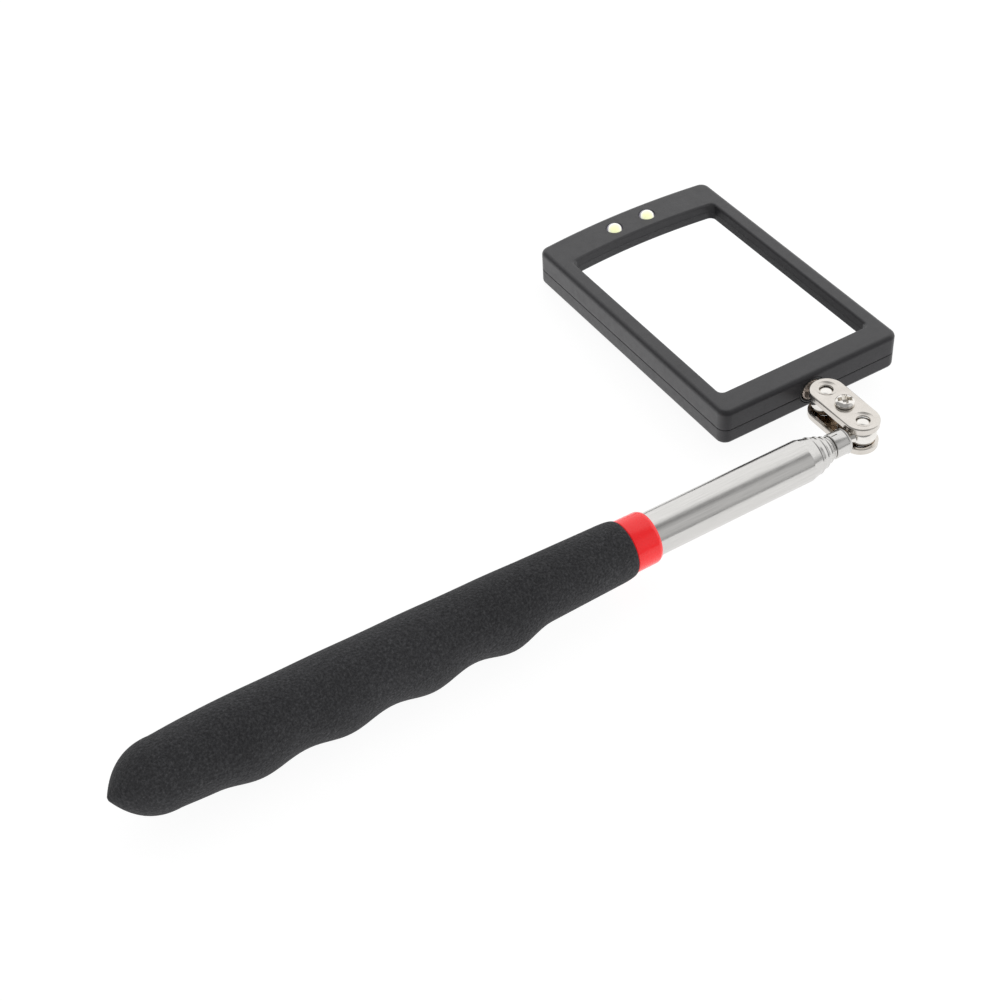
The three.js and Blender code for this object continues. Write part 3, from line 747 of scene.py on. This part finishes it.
def clamp_plate():
    """Pressed plate: turned-down lip, a shallow dish round each ball hole, eased edges."""
    section = rounded([(PLATE - RIM, PLATE_BOTTOM, 0.12), (PLATE, PLATE_BOTTOM, 0.22),
                       (PLATE, PLATE_TOP, 0.45), (2.2, PLATE_TOP)], 9, closed=False)
    inner = PLATE_TOP - SHEET
    section = [Vector((PLATE - RIM, inner))] + section
    body = loft([level(stadium(r), z) for r, z in section], caps=True)
    above, below, floor_z = PLATE_TOP + 1, inner - 1, PLATE_TOP - DISH
    dish = rounded([(above, 0), (above, 3.4), (PLATE_TOP + 0.02, 3.1, 0.5),
                    (floor_z, HOLE + 0.35, 0.4), (floor_z, 0)], 8, closed=False)
    hole = rounded([(above, 0), (above, HOLE + 0.2), (floor_z + 0.01, HOLE + 0.15, 0.15),
                    (floor_z - 0.18, HOLE, 0.2), (inner + 0.4, HOLE), (below, HOLE + 1.4),
                    (below, 0)], 5, closed=False)
    screw_hole = [(above, 0), (above, 1.6), (below, 1.6), (below, 0)]
    tools = [upright(cut, 0, y, 96) for y in (0, SPACING) for cut in (dish, hole)]
    return carve(body, [*tools, upright(screw_hole, 0, SCREW_AT, 48)])


for node, space in (("clamp_plate_top", PLANE), ("clamp_plate_bottom", FLIPPED)):
    piece(f"{node}_pressed", clamp_plate(), space, PLATING, "clamp",
          [node], 38, weighted=True)


def cross_tool(x, y, top, depth, reach, width, up=1, turn=0):
    """Two crossed wings of half sizes reach and width, tapering into a head from its top."""
    narrow, over = 0.62, 0.6  # share left at the foot, and height past the top
    wings, spin = [], Matrix.Rotation(math.radians(turn), 3, "Z")
    for wide, tall in ((reach, width), (width, reach)):
        dx, dy = wide * narrow, tall * narrow
        foot = [(x - dx, y - dy), (x + dx, y - dy), (x + dx, y + dy), (x - dx, y + dy)]
        rings = []
        for z, grow in ((top - up * depth, 1.0), (top + up * over, 1 / narrow)):
            flat = [spin @ Vector(((px - x) * grow, (py - y) * grow, 0)) for px, py in foot]
            rings.append([(x + p.x, y + p.y, z) for p in flat])
        wings.append(loft(rings, caps=True))
    return wings


def clamp_screw():
    """Pan head with a cross recess on a plain shank."""
    low, high = extent("clamp_screw", PLANE)
    foot, top, seat, shank = low.z, high.z, PLATE_TOP + 0.15, 1.4
    path = rounded([(foot, 0), (foot, shank, 0.3), (seat, shank), (seat, 2.7, 0.15),
                    (seat + 0.8, 2.72, 0.5), (seat + 1.4, 2.1, 1.1), (top, 1.0, 1.4), (top, 0)],
                   7, closed=False)
    cross = cross_tool(0, SCREW_AT, top, depth=1.6, reach=2.3, width=0.85, turn=-31)
    return carve(upright(path, 0, SCREW_AT, 96), cross)


def clamp_nut():
    """Hexagonal nut: a chamfered disc cut to six flats, then bored."""
    low, high = extent("clamp_nut", PLANE)
    corner, thread = (high.x - low.x) / 2, 1.55
    foot, top, wide = low.z, high.z, corner + 0.02
    angles = [math.radians(60 * k) for k in range(6)]
    flats = [(corner * math.cos(a), SCREW_AT + corner * math.sin(a)) for a in angles]
    turned = rounded([(foot, 0), (foot, corner - 0.42, 0.2), (foot + 0.32, wide),
                      (top - 0.12, wide), (top, corner - 0.2, 0.1), (top, 0)], 4, closed=False)
    hexagon = prism(flats, foot - 1, top + 1)
    blank = carve(upright(turned, 0, SCREW_AT, 96), [hexagon], "INTERSECT")
    bore = [(foot - 1, 0), (foot - 1, thread + 0.4), (foot + 0.28, thread),
            (top + 1, thread), (top + 1, 0)]
    return carve(blank, [upright(bore, 0, SCREW_AT, 64)])


piece("clamp_screw_pan_head", clamp_screw(), PLANE, NICKEL, "clamp",
      ["clamp_screw"], 38, weighted=True)
piece("clamp_nut_hex", clamp_nut(), PLANE, NICKEL, "clamp",
      ["clamp_nut"], 30, weighted=True)


def knurl(teeth, depth, smooth):
    """Shape for lathe: flutes along everything wider than the smooth radius."""
    def shape(x, radius, angle):
        if radius <= smooth:
            return radius
        return radius - depth * (0.5 - 0.5 * math.cos(teeth * angle))

    return shape


def stem_collar():
    """Knurled round nut against the near edge of the head."""
    low, high = extent("stem_collar", NECK_SPACE)
    a, b, r = low.x, high.x, high.y
    path = rounded([(a, NECK_HOLE), (a, r - 0.45, 0.2), (a + 0.45, r, 0.15), (b, r, 0.15),
                    (b, NECK_HOLE)], 4)
    return lathe(path, 176, loop=True, shape=knurl(22, 0.16, r - 0.25))


def stem_boss():
    """Sleeve in the casing: wide for the round nut, then narrow for the neck."""
    low, high = extent("stem_boss", NECK_SPACE)
    a, b, r, hole = low.x, high.x, high.y, 1.6
    bore, step = extent("stem_collar", NECK_SPACE)[1].y + 0.25, b - 2.2
    path = [(a, bore, 0.15), (a, r, 0.25), (b, r, 0.15), (b, hole, 0.1), (step, hole, 0.1),
            (step, bore, 0.15)]
    return lathe(rounded(path, 5), 96, loop=True)


def end_nut():
    """Small knurled nut on the neck's end, inside the casing."""
    low, high = extent("stem_end_nut", NECK_SPACE)
    a, b, r = low.x, high.x, high.y
    path = [(a, NECK_HOLE), (a, r, 0.15), (b, r, 0.3), (b, NECK_HOLE, 0.1)]
    return lathe(rounded(path, 5), 72, loop=True, shape=knurl(18, 0.12, 2))


piece("stem_collar_knurled", stem_collar(), NECK_SPACE, DULL, "head_neck",
      ["stem_collar"], 50)
piece("stem_end_nut_knurled", end_nut(), NECK_SPACE, NICKEL, "head_neck",
      ["stem_end_nut"], 50)
piece("stem_boss_moulded", stem_boss(), NECK_SPACE, BLACK, "head",
      ["stem_boss"], 50)

# ---- Head casing -------------------------------------------------

bezel_low, bezel_high = extent("front_bezel", PLANE)
cover_low, cover_high = extent("rear_cover", PLANE)
glass_low, glass_high = extent("mirror_glass", PLANE)
HALF, NEAR = bezel_high.x, bezel_low.y
BOW, CORNER = 1.6, 3.0  # of the far edge, and the corners seen from above
FILLET, TOP_FILLET = 2.2, 2.6  # along the back's edges, and along the front's
FAR = bezel_high.y - BOW
TOP, PARTING, BACK = bezel_high.z, bezel_low.z, cover_low.z
MARGIN = 1.3  # glass hidden under the bezel
WINDOW_HALF, WINDOW_NEAR = glass_high.x - MARGIN, glass_low.y + MARGIN
WINDOW_BOW, WINDOW_CORNER = 1.4, 1.9
WINDOW_FAR = glass_high.y - MARGIN - WINDOW_BOW
MIRROR_TOP = glass_high.z
LEDGE = TOP - 2.5  # underside of the bezel's face
SKIRT = 0.8  # wall that comes down to the glass round the window
SEAM = 0.1  # the line between the two halves of the casing
LIGHT_NODES = ["led_left", "led_right"]
SCREW_NODES = [f"casing_screw_{k}" for k in (1, 2, 3, 4)]


def bowed(half, near, far, bow, radius, corner=9, side=26, end=26):
    """Closed plan with round corners and a bowed far side, always of as many points."""
    lean = math.degrees(math.atan(2 * bow / (half - radius)))
    away = math.radians(lean)
    shoulder = half - radius + radius * math.sin(away)
    height = far - radius + radius * math.cos(away)
    plan = line((radius - half, near), (half - radius, near), end)
    plan += arc(half - radius, near + radius, radius, -90, 0, corner)
    plan += line((half, near + radius), (half, far - radius), side)
    plan += arc(half - radius, far - radius, radius, 0, 90 - lean, corner)
    plan += curve((shoulder, height), (0, far + 2 * bow), (-shoulder, height), end)
    plan += arc(radius - half, far - radius, radius, 90 + lean, 180, corner)
    plan += line((-half, far - radius), (-half, near + radius), side)
    return plan + arc(radius - half, near + radius, radius, 180, 270, corner)


def shell(inset, z):
    """Ring round the casing, inset from its outer wall."""
    corner = max(CORNER - inset, 0.3)
    return level(bowed(HALF - inset, NEAR + inset, FAR - inset, BOW, corner), z)


def window(margin, z):
    """Ring round the window, margin outside its edge."""
    return level(bowed(WINDOW_HALF + margin, WINDOW_NEAR - margin, WINDOW_FAR + margin,
                       WINDOW_BOW, WINDOW_CORNER), z)


def boss_tool():
    """Round hole in the near wall for the boss, with an eased edge."""
    low, high = extent("stem_boss", NECK_SPACE)
    r, mouth, end = high.y + 0.15, low.x - 2, high.x + 2
    bm = lathe([(mouth, 0), (mouth, r + 0.25), (low.x + 0.2, r), (end, r), (end, 0)], 96)
    bm.transform(AT_HEAD_BALL)
    return bm


def front_bezel():
    """Frame with a rolled front edge, an eased window and two countersunk light holes."""
    wall, sill_wide = 2.0, 1.6
    chamfer = [(wall, PARTING), (0.25, PARTING), (0.07, PARTING + 0.07), (0.0, PARTING + 0.25)]
    edge = rounded([(0.0, PARTING), (0.0, TOP, TOP_FILLET), (TOP_FILLET + 0.4, TOP)], 14,
                   closed=False)
    rings = [shell(inset, z) for inset, z in [*chamfer, *edge[1:]]]
    foot = MIRROR_TOP + 0.03
    sill = rounded([(sill_wide, TOP), (0.0, TOP, 0.75), (0.0, foot)], 8, closed=False)
    rings += [window(margin, z) for margin, z in sill]
    rings += [window(SKIRT, foot), window(SKIRT, LEDGE), shell(wall, LEDGE)]
    hole, above = 2.42, TOP + 1
    path = rounded([(above, 0), (above, 2.75), (TOP, 2.68), (TOP - 0.22, hole, 0.2),
                    (0, hole), (0, 0)], 5, closed=False)
    lights = [upright(path, *spot(node), 72) for node in LIGHT_NODES]
    return carve(loft(rings, loop=True), [boss_tool(), *lights])


piece("front_bezel_moulded", front_bezel(), PLANE, CASING, "head",
      ["front_bezel"], 34, weighted=True)

door_low, door_high = extent("battery_door", PLANE)
knob_low, knob_high = extent("switch_knob", PLANE)
KNOB_Y = (knob_low.y + knob_high.y) / 2


def dovetail(spare):
    """The battery door's undercut way, as a solid running out past the light end."""
    thick, undercut = 1.3, 1.0
    half = door_high.x - undercut + spare
    top = BACK + thick + spare
    outline = [(-half, BACK - 1), (half, BACK - 1), (half, BACK), (half + undercut, top),
               (-half - undercut, top), (-half, BACK)]
    start = door_low.y - spare
    return loft([[(x, y, z) for x, z in outline] for y in (start, start + 60)], caps=True)


def back_edge(start):
    """Section of the casing's outside from height start round onto the back."""
    return rounded([(0.0, start), (0.0, BACK, FILLET), (FILLET + 0.4, BACK)], 12, closed=False)


def rear_cover():
    """Tray with a lip that locates in the bezel, open where the back's parts go in."""
    top = cover_high.z
    seam, floor = PARTING - SEAM, BACK + 2.2
    outside = back_edge(seam)[1:-1]
    rings = [shell(inset, z) for inset, z in reversed(outside)]
    rings += [shell(inset, z) for inset, z in
              ((0.0, seam - 0.25), (0.07, seam - 0.07), (0.25, seam), (2.3, seam), (2.3, top - 0.2),
               (2.5, top), (3.3, top), (3.3, floor))]
    bm = loft(rings, caps=True)
    cell_low, cell_high = extent("coin_cell_left", PLANE)
    side, below = -cell_low.x - 0.4, BACK - 1
    cells = brick(-side, side, cell_low.y - 0.5, cell_high.y + 0.5, below, 0, 1.5)
    dimple = brick(-4.7, 4.7, KNOB_Y - 2.4, KNOB_Y + 2.4, below, BACK + 1.1, 1.1, 6)
    slot = brick(-2.8, 2.8, KNOB_Y - 1.3, KNOB_Y + 1.3, below, 1, 0.3)
    seat, head, thread = BACK + 2.1, 1.85, 1.15
    path = rounded([(below, 0), (below, 2.15), (BACK, 2.1), (BACK + 0.2, head, 0.2),
                    (seat, head), (seat, thread), (3, thread), (3, 0)], 4, closed=False)
    screws = [upright(path, *spot(node), 48) for node in SCREW_NODES]
    return carve(bm, [dovetail(0.3), boss_tool(), cells, dimple, slot, *screws])


piece("rear_cover_moulded", rear_cover(), PLANE, CASING, "head",
      ["rear_cover"], 34, weighted=True)


def battery_door():
    """Slice of the casing in its dovetailed way, with finger grooves."""
    block = loft([shell(inset, z) for inset, z in back_edge(2.0)[:-1]], caps=True)
    slab = carve(block, [dovetail(0)], "INTERSECT")
    grooves, first, pitch = [], 7, 2.2
    for k in range(4):
        y = door_low.y + first + pitch * k
        profile = rounded([(y - 0.75, BACK - 0.3), (y - 0.5, BACK + 0.1, 0.15),
                           (y, BACK + 0.4, 0.4), (y + 0.5, BACK + 0.1, 0.15),
                           (y + 0.75, BACK - 0.3)], 4)
        ends = [[(x, py, pz) for py, pz in profile] for x in (-7, 7)]
        grooves.append(loft(ends, caps=True))
    return carve(slab, grooves)


piece("battery_door_grooved", battery_door(), PLANE, CASING, "battery_door",
      ["battery_door"], 34, weighted=True)


def pane(margin, z0, z1, arris):
    """Flat sheet that reaches past the window by a margin, with its edges eased."""
    return loft([window(margin - arris, z0), window(margin, z0 + arris),
                 window(margin, z1 - arris), window(margin - arris, z1)], caps=True)


def mirror_glass():
    """Flat glass with a fine arris all round."""
    return pane(MARGIN, glass_low.z, glass_high.z, 0.25)


def mirror_backing():
    """Card behind the glass."""
    low, high = extent("mirror_backing", PLANE)
    return pane(high.x - WINDOW_HALF, low.z, high.z, 0.1)


piece("mirror_glass_silvered", mirror_glass(), PLANE, MIRROR, "head",
      ["mirror_glass"], 30, weighted=True)
piece("mirror_backing_card", mirror_backing(), PLANE, CARD, "head",
      ["mirror_backing"], 30)


def lens(node):
    """Domed light that fills its hole, with the flange at its foot."""
    foot = extent(node, PLANE)[0].z
    step, flange, radius = foot + 0.9, 2.8, 2.38
    shoulder, crown, squareness = 4.85, TOP + 1.0, 0.8
    angles = [math.radians(a) for a in range(0, 90, 6)]
    dome = [(shoulder + (crown - shoulder) * math.sin(a), radius * math.cos(a) ** squareness)
            for a in angles]
    path = rounded([(foot, 0), (foot, flange, 0.15), (step, flange, 0.2), (step, radius)], 4,
                   closed=False)
    return upright([*path, *dome, (crown, 0)], *spot(node), 72)


for node in LIGHT_NODES:
    glow = led_lens(node.replace("led_", "led_lens_"), node)
    piece(f"{node}_lens", lens(node), PLANE, glow, "head", [node], 60)


def light_board():
    """Thin board under both lights."""
    low, high = extent("led_board", PLANE)
    return brick(low.x, high.x, low.y, high.y, low.z, high.z, 0.5)


piece("led_board_etched", light_board(), PLANE, BOARD, "head",
      ["led_board"], 30, bevel=0.08)


def cell(node):
    """Button cell: stepped cap below, rolled crimp and shallow dish above."""
    low, high = extent(node, PLANE)
    a, b, r, cap, dish = low.z, high.z, (high.x - low.x) / 2, 8.8, 0.08
    path = rounded([(a + 0.06, 0), (a, cap - 0.6, 0.4), (a, cap, 0.15), (a + 0.3, cap),
                    (a + 0.3, r - 0.3, 0.1), (a + 0.5, r, 0.3), (b, r, 0.45), (b, 8.9, 0.2),
                    (b - dish, 8.5, 0.2), (b - dish, 0)], 5, closed=False)
    return upright(path, *spot(node), 96)


for node in ("coin_cell_left", "coin_cell_right"):
    piece(f"{node}_can", cell(node), PLANE, CELL, "head", [node], 40)


def contact_strip():
    """Spring strip with a pressed dimple over each cell."""
    low, high = extent("battery_contact", PLANE)
    thick, dimple, taper, steps = 0.22, 3.4, 0.8, 60
    rise = high.z - low.z - thick
    cells = [(low.x + high.x) / 2 + s * 10.4 for s in (-1, 1)]
    wide, mid = (high.y - low.y) / 2, (high.y + low.y) / 2
    rings = []
    for k in range(steps + 1):
        x = low.x + (high.x - low.x) * k / steps
        near = min(abs(x - c) for c in cells)
        z = low.z + rise * min(1.0, (near / dimple) ** 2)
        half = wide - 0.4 * max(0.0, 1 - (min(x - low.x, high.x - x) / taper))
        rings.append([(x, mid - half, z), (x, mid + half, z), (x, mid + half, z + thick),
                      (x, mid - half, z + thick)])
    return loft(rings, caps=True)


piece("battery_contact_strip", contact_strip(), PLANE, BRONZE, "head",
      ["battery_contact"], 40)


def switch_can():
    """Metal case of the slide switch."""
    low, high = extent("switch_body", PLANE)
    return brick(low.x, high.x, low.y, high.y, low.z, high.z, 0.35)


def switch_knob():
    """Slide cap with grip ribs across it, and the stem into the switch."""
    x0, x1 = knob_low.x, knob_high.x
    base, skin = BACK + 0.8, knob_low.z
    teeth = [(x0, base), (x0, skin + 0.1, 0.12), (x0 + 0.15, skin, 0.1)]
    count, land, groove = 5, 0.25, skin + 0.3
    pitch = (x1 - x0 - 2 * land) / count
    for k in range(count):
        at = x0 + land + pitch * k
        teeth += [(at + pitch * 0.2, skin, 0.06), (at + pitch * 0.35, groove, 0.06),
                  (at + pitch * 0.65, groove, 0.06), (at + pitch * 0.8, skin, 0.06)]
    teeth += [(x1 - 0.15, skin, 0.1), (x1, skin + 0.1, 0.12), (x1, base)]
    plan = rounded(teeth, 3)
    half = (knob_high.y - knob_low.y) / 2
    cap = loft([[(x, y, z) for x, z in plan] for y in (KNOB_Y - half, KNOB_Y + half)], caps=True)
    mid = (x0 + x1) / 2
    stem = brick(mid - 1, mid + 1, KNOB_Y - 0.9, KNOB_Y + 0.9, base - 0.2, knob_high.z, 0.2)
    return carve(cap, [stem], "UNION")


piece("switch_body_can", switch_can(), PLANE, CAN, "head",
      ["switch_body"], 30, bevel=0.12)
piece("switch_knob_ribbed", switch_knob(), PLANE, BLACK, "switch_knob",
      ["switch_knob"], 34, bevel=0.06)


def casing_screw(node):
    """Self-tapping screw, its cross-recessed head facing the back."""
    low, high = extent(node, PLANE)
    head, tip, (x, y) = low.z, high.z, spot(node)
    wide, root, crest, pitch, under = 1.65, 0.76, 0.95, 0.62, head + 1.1
    path = [(head, 0), (head, 1.2, 0.4), (head + 0.3, wide, 0.3), (under, wide, 0.1), (under, 0.8)]
    turn = head + 1.5
    while turn < tip - 1.0:
        path += [(turn, root), (turn + 0.27, crest), (turn + 0.54, root)]
        turn += pitch
    path += [(tip - 0.6, 0.6), (tip, 0.12), (tip, 0)]
    blank = upright(rounded(path, 4, closed=False), x, y, 48)
    return carve(blank, cross_tool(x, y, head, depth=0.6, reach=1.0, width=0.28, up=-1))


for node in SCREW_NODES:
    piece(f"{node}_cross_head", casing_screw(node), PLANE, SCREW, "head", [node], 36)

# ---- Stage -------------------------------------------------------


def floor():
    """Pale matt table top that glows enough to hide most of the shadow, as in the photo."""
    f = Finish("table_top", Emission_Color=(1, 1, 1, 1), Emission_Strength=0.92,
               Specular_IOR_Level=0.1)
    f.colour(f.tones(f.noise(3, 2), (0.18, 0.18, 0.18), (0.2, 0.2, 0.2)))
    f.rough(f.spread(f.noise(9, 2), 0.8, 0.9))
    mesh = bpy.data.meshes.new("table_top")
    size = 6.0  # metres from the middle to an edge
    corners = [(-size, -size, 0), (size, -size, 0), (size, size, 0), (-size, size, 0)]
    mesh.from_pydata(corners, [], [(0, 1, 2, 3)])
    mesh.materials.append(f.material)
    ob = bpy.data.objects.new("table_top", mesh)
    bpy.context.scene.collection.objects.link(ob)


def compass(azimuth, elevation):
    """Unit vector; azimuth turns from +Y towards +X."""
    a, e = math.radians(azimuth), math.radians(elevation)
    return Vector((math.sin(a) * math.cos(e), math.cos(a) * math.cos(e), math.sin(e)))


def studio():
    """Bright backdrop beyond the tool, a soft fill on its near side and a dim room elsewhere."""
    world = bpy.data.worlds.new("studio")
    bpy.context.scene.world = world
    world.use_nodes = True
    sky = Nodes(world.node_tree)
    background = sky.tree.nodes["Background"]
    background.inputs["Color"].default_value = (1, 1, 1, 1)
    place = sky.add("ShaderNodeTexCoord").outputs["Generated"]

    def facing(direction, start, stop, low, high):
        """Strength from low to high as the sky turns towards a direction."""
        dot = sky.vector("DOT_PRODUCT", place, direction).outputs["Value"]
        return sky.spread(dot, low, high, start, stop, "SMOOTHSTEP")

    backdrop = facing(compass(48, 0), 0.167, 0.371, 0.33, 1.12)
    fill = facing(compass(148, 30), 0.86, 0.99, 0.0, 0.33)
    # The camera itself sees plain white beyond the floor.
    seen = sky.add("ShaderNodeMix")
    sky.link(sky.add("ShaderNodeLightPath").outputs["Is Camera Ray"], seen.inputs[0])
    sky.link(sky.both("ADD", backdrop, fill), seen.inputs[2])
    seen.inputs[3].default_value = 1.0
    sky.link(seen.outputs[0], background.inputs["Strength"])


def camera():
    """Long lens on the near side of the tool, looking down over it at the head."""
    focal, azimuth, elevation, roll = 68.71, 30.70, -46.53, -1.58  # from the fit to the photo
    stand = TUBE_BALL + Vector((-0.26908, -0.26274, 0.36039))
    data = bpy.data.cameras.new("view")
    data.sensor_width, data.lens = 36.0, focal
    ob = bpy.data.objects.new("view", data)
    bpy.context.scene.collection.objects.link(ob)
    forward = compass(azimuth, elevation)
    right = forward.cross(Vector((0, 0, 1))).normalized()
    up = right.cross(forward)
    turn = Matrix.Rotation(math.radians(roll), 4, "Z")
    look = Matrix((right, up, -forward)).transposed().to_4x4() @ turn
    ob.matrix_world = Matrix.Translation(stand) @ look
    bpy.context.scene.camera = ob


floor()
studio()
camera()
bpy.context.scene.view_settings.view_transform = "Standard"
